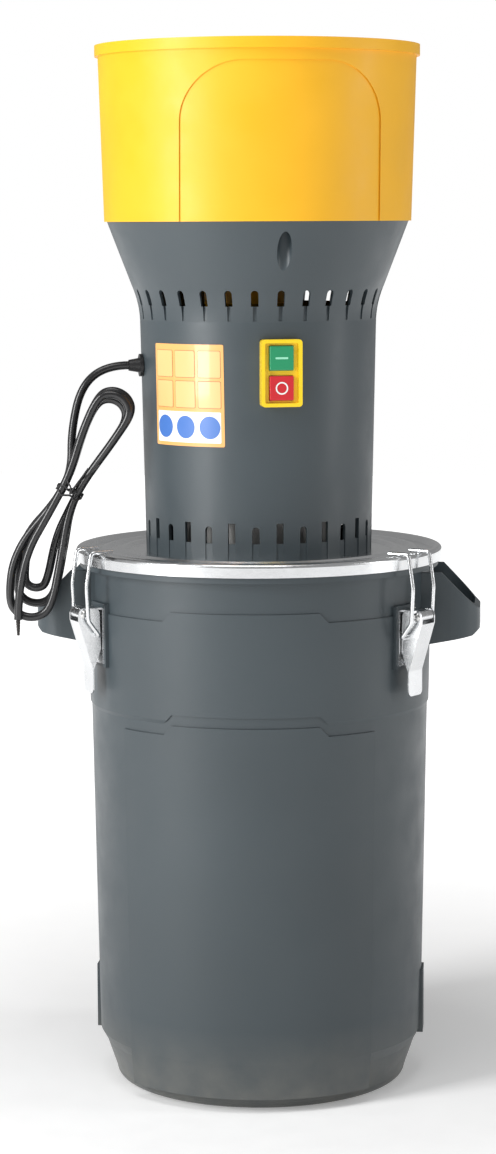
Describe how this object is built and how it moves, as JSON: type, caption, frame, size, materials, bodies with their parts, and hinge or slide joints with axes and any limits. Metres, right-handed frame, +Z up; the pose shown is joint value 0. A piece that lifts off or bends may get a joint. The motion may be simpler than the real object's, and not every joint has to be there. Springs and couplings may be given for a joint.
{
  "type": "electric grain mill",
  "caption": "Upright electric grain mill: hopper over a slotted motor head, standing on the latched sheet lid of a plastic drum with loop handles.",
  "frame": {"origin": "centre of the drum's base, on the surface it stands on", "axes": "+Z up along the drum's axis, -Y to the drum's front, handles on +X and -X"},
  "size_m": [0.3977, 0.3264, 0.88],
  "materials": {
    "grey_plastic": "satin moulded grain",
    "yellow_plastic": "satin moulded",
    "yellow_gloss": "gloss",
    "green_plastic": "gloss",
    "red_plastic": "gloss",
    "black_plastic": "matt",
    "tin_sheet": "bright galvanised",
    "rubber": "matt",
    "zinc_steel": "zinc plated",
    "bright_steel": "bright",
    "core_steel": "laminated, oiled",
    "copper_enamel": "enamelled copper wire",
    "cast_aluminium": "as cast",
    "cord_black": "glossy sheath",
    "tie_black": "gloss",
    "core_wire": "twisted cores"
  },
  "bodies": {
    "root": {"drum": "grey_plastic", "head_housing": "grey_plastic", "hopper": "yellow_plastic", "switch_faceplate": "yellow_gloss", "switch_body": "black_plastic", "cord_gland": "black_plastic", "feed_duct": "black_plastic", "run_capacitor": "black_plastic", "lid": "tin_sheet", "lid_gasket": "rubber", "chamber_plate": "zinc_steel", "sieve": "zinc_steel", "sieve_floor": "zinc_steel", "capacitor_strap": "zinc_steel", "latch_bracket_right": "zinc_steel", "latch_bracket_left": "zinc_steel", "latch_bracket_rear": "zinc_steel", "latch_rivets": "bright_steel", "latch_pins": "bright_steel", "lid_screws": "bright_steel", "head_screws": "bright_steel", "gate_screw": "bright_steel", "motor_bolts": "bright_steel", "upper_bearing": "bright_steel", "lower_bearing": "bright_steel", "chamber_studs": "bright_steel", "stud_nuts": "bright_steel", "stator_core": "core_steel", "stator_windings": "copper_enamel", "lower_end_shield": "cast_aluminium", "upper_end_shield": "cast_aluminium", "cord_lead": "cord_black", "cord_hank": "cord_black", "hank_tie": "tie_black", "cord_end": "core_wire"},
    "rotor": {"motor_shaft": "bright_steel", "rotor_core": "core_steel", "cooling_fan": "black_plastic", "knife_bars": "bright_steel", "knife_hub": "bright_steel", "knife_nut": "bright_steel"},
    "start_button": {"start_button": "green_plastic"},
    "stop_button": {"stop_button": "red_plastic"},
    "feed_gate": {"feed_gate": "zinc_steel", "gate_knob": "black_plastic"},
    "lever_right": {"latch_lever_right": "zinc_steel"},
    "bail_right": {"latch_bail_right": "zinc_steel"},
    "lever_left": {"latch_lever_left": "zinc_steel"},
    "bail_left": {"latch_bail_left": "zinc_steel"},
    "lever_rear": {"latch_lever_rear": "zinc_steel"},
    "bail_rear": {"latch_bail_rear": "zinc_steel"}
  },
  "joints": [
    {"name": "rotor_spin", "type": "hinge", "parent": "root", "child": "rotor", "pos_m": [0, 0, 0.55], "axis": [0, 0, 1], "continuous": true},
    {"name": "start_press", "type": "slide", "parent": "root", "child": "start_button", "axis": [-0.2672, 0.9636, 0], "range_m": [0, 0.0025], "stiffness_N_per_m": 600, "springref_m": -0.001},
    {"name": "stop_press", "type": "slide", "parent": "root", "child": "stop_button", "axis": [-0.2672, 0.9636, 0], "range_m": [0, 0.0025], "stiffness_N_per_m": 600, "springref_m": -0.001},
    {"name": "gate_swing", "type": "hinge", "parent": "root", "child": "feed_gate", "pos_m": [0, 0, 0.7135], "axis": [-0.0537, 0.1938, 0.9796], "range_deg": [-78, 0]},
    {"name": "lever_hinge_right", "type": "hinge", "parent": "root", "child": "lever_right", "pos_m": [0.14289, -0.0825, 0.41], "axis": [-0.5, -0.866, 0], "range_deg": [0, 115]},
    {"name": "bail_hinge_right", "type": "hinge", "parent": "lever_right", "child": "bail_right", "pos_m": [0.13345, -0.07705, 0.392], "axis": [-0.5, -0.866, 0], "range_deg": [-270, 0]},
    {"name": "lever_hinge_left", "type": "hinge", "parent": "root", "child": "lever_left", "pos_m": [-0.14289, -0.0825, 0.41], "axis": [-0.5, 0.866, 0], "range_deg": [0, 115]},
    {"name": "bail_hinge_left", "type": "hinge", "parent": "lever_left", "child": "bail_left", "pos_m": [-0.13345, -0.07705, 0.392], "axis": [-0.5, 0.866, 0], "range_deg": [-270, 0]},
    {"name": "lever_hinge_rear", "type": "hinge", "parent": "root", "child": "lever_rear", "pos_m": [0, 0.165, 0.41], "axis": [1, 0, 0], "range_deg": [0, 115]},
    {"name": "bail_hinge_rear", "type": "hinge", "parent": "lever_rear", "child": "bail_rear", "pos_m": [0, 0.1541, 0.392], "axis": [1, 0, 0], "range_deg": [-270, 0]}
  ],
  "couplings": [
    {"joint": "bail_hinge_right", "follows": "lever_hinge_right", "ratio": -2.3},
    {"joint": "bail_hinge_left", "follows": "lever_hinge_left", "ratio": -2.3},
    {"joint": "bail_hinge_rear", "follows": "lever_hinge_rear", "ratio": -2.3}
  ]
}
